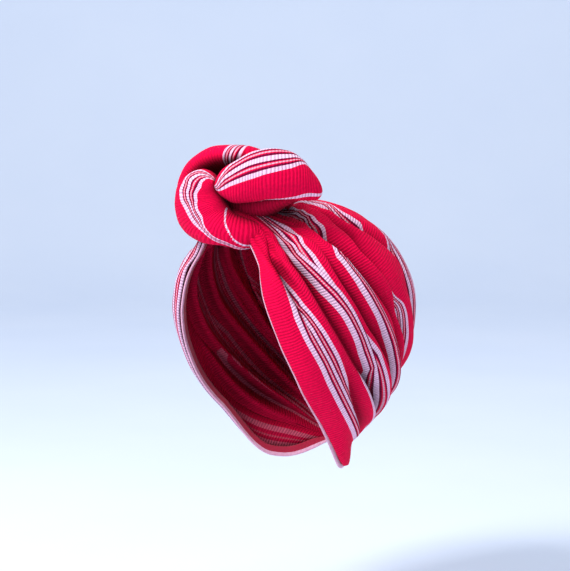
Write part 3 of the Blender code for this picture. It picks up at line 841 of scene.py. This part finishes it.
# %% [markdown]
# ## The strands of the knot
#
# The knot is four turns of the same cloth. Each turn is a fat strand, described by a few sections
# across it: where its inner edge is, where its outer edge is, and how thick it is between them. A
# sphere from one operator is mapped onto the sections, so each strand is closed and rounded at both
# ends.

# %% Sections of the strands
# Inner edge x, y, z, outer edge x, y, z and half thickness, in millimetres from the widest level.
KNOT_LOOP = (
    (2, -86, 101, 1, -85, 108, 5),
    (2, -86, 99, -15, -83, 114, 9),
    (2, -86, 98, -31, -80, 110, 12),
    (3, -86, 96, -46, -76, 99, 14),
    (4, -85, 94, -49, -75, 86, 15),
    (5, -84, 91, -45, -76, 73, 15),
    (6, -82, 88, -33, -78, 63, 14),
    (7, -79, 85, -15, -80, 58, 13),
    (9, -75, 82, 1, -77, 57, 12),
    (14, -67, 78, 12, -70, 54, 11),
    (20, -50, 74, 20, -50, 57, 9),
)
KNOT_ROLL = (
    (-1, -84, 99, -1, -84, 105, 5),
    (5, -81, 93, 4, -82, 114, 9),
    (12, -76, 89, 12, -75, 121, 13),
    (22, -68, 90, 22, -66, 128, 16),
    (32, -60, 92, 32, -58, 130, 17),
    (41, -50, 92, 41, -49, 128, 16),
    (47, -40, 91, 47, -41, 122, 14),
    (51, -32, 91, 51, -35, 113, 11),
    (53, -27, 95, 53, -29, 104, 6),
)
KNOT_CREST = (
    (-34, -68, 78, -48, -68, 74, 8),
    (-35, -66, 85, -56, -66, 86, 12),
    (-34, -64, 93, -58, -63, 97, 15),
    (-31, -62, 100, -53, -60, 111, 17),
    (-27, -60, 106, -42, -58, 122, 18),
    (-17, -58, 111, -24, -55, 130, 18),
    (-6, -54, 112, -6, -50, 131, 17),
    (3, -46, 110, 4, -42, 128, 14),
    (9, -37, 101, 13, -33, 119, 12),
    (13, -30, 90, 20, -25, 106, 10),
    (15, -26, 79, 24, -20, 92, 7),
)
KNOT_WRAP = (
    (-34, -62, 68, -36, -62, 92, 10),
    (-22, -60, 64, -22, -60, 108, 17),
    (-10, -56, 62, -10, -56, 115, 20),
    (0, -52, 64, 0, -52, 115, 21),
    (9, -48, 71, 10, -48, 110, 20),
    (18, -44, 78, 20, -44, 104, 18),
    (28, -40, 85, 29, -40, 100, 14),
    (36, -36, 90, 37, -36, 98, 8),
)
print("Strands have", [len(t) for t in (KNOT_LOOP, KNOT_ROLL, KNOT_CREST, KNOT_WRAP)], "sections")

# %% [markdown]
# A stripe row of a strand gives a millimetre of cloth, some of the sections, and the degrees round
# from the outer edge at which that cloth lies there. The front of a strand has positive degrees.

# %% Stripes of the strands
STRAND_STRIPES = {
    "knot_loop_cloth": (
        (-30, (0, 4, 7, 8.5, 10), (-60, -30, -10, -20, -40)),
        (2.75, (0, 1, 1.6, 1.9, 2.4, 3.7, 5.1, 6.1, 6.9, 8, 10),
         (12, 26, 30, 43, 69, 88, 99, 92, 81, 40, 0)),
        (20.3, (0, 0.4, 0.8, 2, 3.9, 4.6, 6, 7, 7.5, 8.4, 10),
         (40, 60, 95, 122, 122, 118, 111, 84, 66, 44, 20)),
        (59.75, (0, 3, 5.5, 6.4, 7.5, 7.9, 8.2, 8.5, 9, 10),
         (200, 205, 200, 189, 144, 111, 88, 62, 43, 30)),
    ),
    "knot_roll_cloth": (
        (-20, (0, 2, 5, 8), (40, -50, -70, -110)),
        (2.75, (0, 0.6, 1.2, 1.8, 2.8, 3.6, 4.7, 6, 8), (100, 90, 45, 12, 13, 5, -10, -30, -60)),
        (11.5, (0, 0.6, 1.4, 2.3, 3.6, 4.7, 5.6, 8), (108, 104, 66, 58, 56, 43, 24, -20)),
        (20.3, (0, 0.6, 1.8, 3.2, 4.9, 6.1, 8), (118, 118, 92, 90, 69, 32, 0)),
        (59.75, (0, 3, 5.1, 5.9, 7.3, 8), (200, 185, 156, 133, 118, 110)),
    ),
    "knot_crest_cloth": (
        (-24, (0, 5.3, 5.7, 10), (-120, -120, -175, -178)),
        (-8, (0, 5.3, 5.75, 10), (170, 170, -150, -170)),
        (2.75, (0, 5.4, 5.95, 10), (185, 185, -110, -150)),
        (11.5, (0, 5.65, 6.2, 10), (192, 192, -90, -130)),
        (20.3, (0, 5.9, 6.5, 10), (200, 200, -70, -110)),
        (34, (0, 6.2, 6.8, 10), (230, 230, 120, 120)),
    ),
    "knot_wrap_cloth": (
        (30, (0, 7), (20, 20)),
        (50, (0, 7), (160, 160)),
    ),
}
print("Stripe rows for", len(STRAND_STRIPES), "strands")

# %% [markdown]
# Mapping a sphere keeps every face a quad except at the two poles, which hide inside the knot. The
# ribs follow the length of the strand's middle, so they fan out round a bend as knitted ribs do.
# The wrap under the roll gets the reverse of the knit, a deeper red with hardly a stripe, as
# painted shade for the shadow that the roll casts on it.

# %% Strand builder
STRAND_SIDES = 72
STRAND_RINGS = 110
END_ROUNDING = 0.09


def strand_section(table, where):
    """Inner edge, outer edge and half thickness, read between the sections."""
    keys = range(len(table))
    values = [table_at(keys, [row[k] for row in table], where) for k in range(7)]
    return Vector(values[0:3]) * MM, Vector(values[3:6]) * MM, values[6] * MM


def strand_cloth(rows, where, turn):
    """Millimetres of cloth at a turn round the strand, in degrees from the outer edge."""
    anchors = [(table_at(sections, degrees, where), value) for value, sections, degrees in rows]
    if turn <= anchors[0][0]:
        return anchors[0][1] + (turn - anchors[0][0]) * 0.2
    for (a, va), (b, vb) in zip(anchors, anchors[1:]):
        if turn <= b:
            return va + (vb - va) * (turn - a) / max(b - a, 0.5)
    return anchors[-1][1] - (turn - anchors[-1][0]) * 0.2


def build_strand(name, table, front):
    """Round-ended strand of cloth; front is 1 or -1, the side its stripes are counted on."""
    last = len(table) - 1
    middles = [sum(strand_section(table, last * k / 200)[:2], Vector()) * 0.5 for k in range(201)]
    run = lengths_along(middles)
    bm = bmesh.new()
    bmesh.ops.create_uvsphere(bm, u_segments=STRAND_SIDES, v_segments=STRAND_RINGS, radius=1.0)
    layer = bm.loops.layers.uv.new("fabric")
    place = {}
    for vert in bm.verts:
        along = math.acos(min(max(vert.co.z, -1.0), 1.0)) / math.pi
        angle = math.atan2(vert.co.y, vert.co.x)
        place[vert] = (along, math.degrees(angle) * front)
        from_end = min(along, 1.0 - along) / END_ROUNDING
        rounding = math.sqrt(1.0 - (1.0 - min(from_end, 1.0)) ** 2)
        inner, outer, half = strand_section(table, last * along)
        before = strand_section(table, max(last * along - 0.1, 0.0))
        after = strand_section(table, min(last * along + 0.1, last))
        forward = (after[0] + after[1] - before[0] - before[1]).normalized()
        across = (outer - inner).normalized()
        outward = across.cross(forward).normalized()
        x = math.cos(angle) * (outer - inner).length * 0.5 * rounding
        y = math.sin(angle) * half * rounding
        vert.co = (inner + outer) * 0.5 + across * x + outward * y + WIDEST_LEVEL
    for face in bm.faces:
        turns = [place[loop.vert][1] for loop in face.loops if 0.001 < place[loop.vert][0] < 0.999]
        wraps = max(turns) - min(turns) > 180.0
        for loop in face.loops:
            along, turn = place[loop.vert]
            if wraps and turn < 0.0:
                turn += 360.0
            if not 0.001 < along < 0.999:
                turn = sum(t + 360.0 if wraps and t < 0.0 else t for t in turns) / len(turns)
            u = table_at(range(201), run, 200.0 * along)
            loop[layer].uv = (u, strand_cloth(STRAND_STRIPES[name], last * along, turn))
    inside = sum((vert.co for vert in bm.verts), Vector()) / len(bm.verts)
    return finish_mesh(name, bm, inside, rib_knit)


loop = build_strand("knot_loop_cloth", KNOT_LOOP, 1)
roll = build_strand("knot_roll_cloth", KNOT_ROLL, -1)
crest = build_strand("knot_crest_cloth", KNOT_CREST, -1)
wrap = build_strand("knot_wrap_cloth", KNOT_WRAP, -1)
# Painted shade: the wrap lies in the roll's shadow, so it is given the darker reverse of the knit.
wrap.data.materials[0] = reverse_and_shade_knit
for piece in (loop, roll, crest, wrap):
    print(piece.name, len(piece.data.polygons), "faces")

# %% [markdown]
# ## Floor, backdrop and light
#
# The photograph has a pale blue, even background. One sheet serves as floor and backdrop: it runs
# forward under the turban and curves up behind it, so no line shows where the two meet. The turban
# is held as a head holds it, so the floor lies some way below its lowest tip. A soft light stands
# high at the camera's left, a weak one fills from the right, one hangs above, and one brightens the
# backdrop alone. The world adds a pale ambience.

# %% Backdrop
FLOOR_LEVEL = -0.33
SWEEP_BACK = 2.2
SWEEP_HEIGHT = 2.4
SWEEP_RADIUS = 0.9
FLOOR_LENGTH = 4.0
HALF_SPAN = 3.0


def make_backdrop_paper():
    """Matt studio paper, pale blue, with a barely visible grain."""
    material, tree, shader = new_material("backdrop_paper")
    where = add_node(tree, "ShaderNodeTexCoord")
    grain = add_node(tree, "ShaderNodeTexNoise", Vector=where.outputs["Object"],
                     Scale=4.0, Detail=3.0)
    colour = add_node(tree, "ShaderNodeMixRGB", Fac=grain.outputs["Fac"],
                      Color1=to_linear("#DDE7F8"), Color2=to_linear("#E5EDFB"))
    tree.links.new(colour.outputs["Color"], shader.inputs["Base Color"])
    set_inputs(shader, Roughness=0.95)
    return material


def build_backdrop():
    """Floor that curves up behind the object, square to the camera."""
    bm = bmesh.new()
    bmesh.ops.create_grid(bm, x_segments=2, y_segments=60, size=1.0)
    azimuth = math.radians(CAMERA_AZIMUTH)
    right = Vector((math.cos(azimuth), math.sin(azimuth), 0.0))
    behind = Vector((-math.sin(azimuth), math.cos(azimuth), 0.0))
    arc = 0.5 * math.pi * SWEEP_RADIUS
    total = FLOOR_LENGTH + arc + SWEEP_HEIGHT
    for vert in bm.verts:
        run = (vert.co.y + 1.0) * 0.5 * total
        turned = min(max(run - FLOOR_LENGTH, 0.0), arc) / SWEEP_RADIUS
        depth = SWEEP_BACK - FLOOR_LENGTH + min(run, FLOOR_LENGTH)
        depth += SWEEP_RADIUS * math.sin(turned)
        rise = SWEEP_RADIUS * (1.0 - math.cos(turned)) + max(run - FLOOR_LENGTH - arc, 0.0)
        sideways = vert.co.x * HALF_SPAN
        vert.co = right * sideways + behind * depth + Vector((0.0, 0.0, FLOOR_LEVEL + rise))
    backdrop = finish_mesh("backdrop", bm, Vector((0.0, 0.0, -10.0)), make_backdrop_paper())
    return backdrop


backdrop = build_backdrop()

# %% Lights
BACKDROP_POINT = Vector((-1.6, 1.7, 0.1))
LIGHTS = (
    # name, azimuth from the front in degrees, height, distance, size, power in watts, target
    ("key_light", -5.0, 1.4, 1.5, 0.6, 44.0, WIDEST_LEVEL),
    ("fill_light", 95.0, 0.3, 2.2, 1.4, 2.0, WIDEST_LEVEL),
    ("top_light", 60.0, 2.0, 0.6, 0.8, 6.0, WIDEST_LEVEL),
    ("backdrop_light", 200.0, 2.0, 0.6, 1.6, 10.0, BACKDROP_POINT),
)


def add_light(name, azimuth, height, distance, size, power, target):
    """Large square lamp aimed at a point."""
    turn = math.radians(azimuth)
    lamp = bpy.data.lights.new(name, "AREA")
    lamp.size = size
    lamp.energy = power
    light = bpy.data.objects.new(name, lamp)
    light.location = (math.sin(turn) * distance, -math.cos(turn) * distance, height)
    aim = target - light.location
    light.rotation_euler = aim.to_track_quat("-Z", "Y").to_euler()
    bpy.context.scene.collection.objects.link(light)


for row in LIGHTS:
    add_light(*row)

world = bpy.data.worlds.new("studio")
world.use_nodes = True
set_inputs(world.node_tree.nodes["Background"], Color=to_linear("#E6EEFB"), Strength=0.66)
bpy.context.scene.world = world
print("Backdrop, world and", len(LIGHTS), "lights")

# %% [markdown]
# ## Tying the cloth to the frame
#
# Each piece rides on the one body and stands for its plain solid, which is hidden. The crown and
# the hem are sheets of cloth: the crown's panel narrows to both ends, and the hem is a band,
# stretched round the opening. The strands of the knot are bunched cloth with air in it.

# %% Pieces on the body
PIECES = ((crown, "crown"), (hem, "face_hem"), (loop, "knot_loop"), (roll, "knot_roll"),
          (crest, "knot_crest"), (wrap, "knot_wrap"))
for piece, node in PIECES:
    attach(piece, "root")
    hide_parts(node)

print(len(PIECES), "pieces ride on the body root")
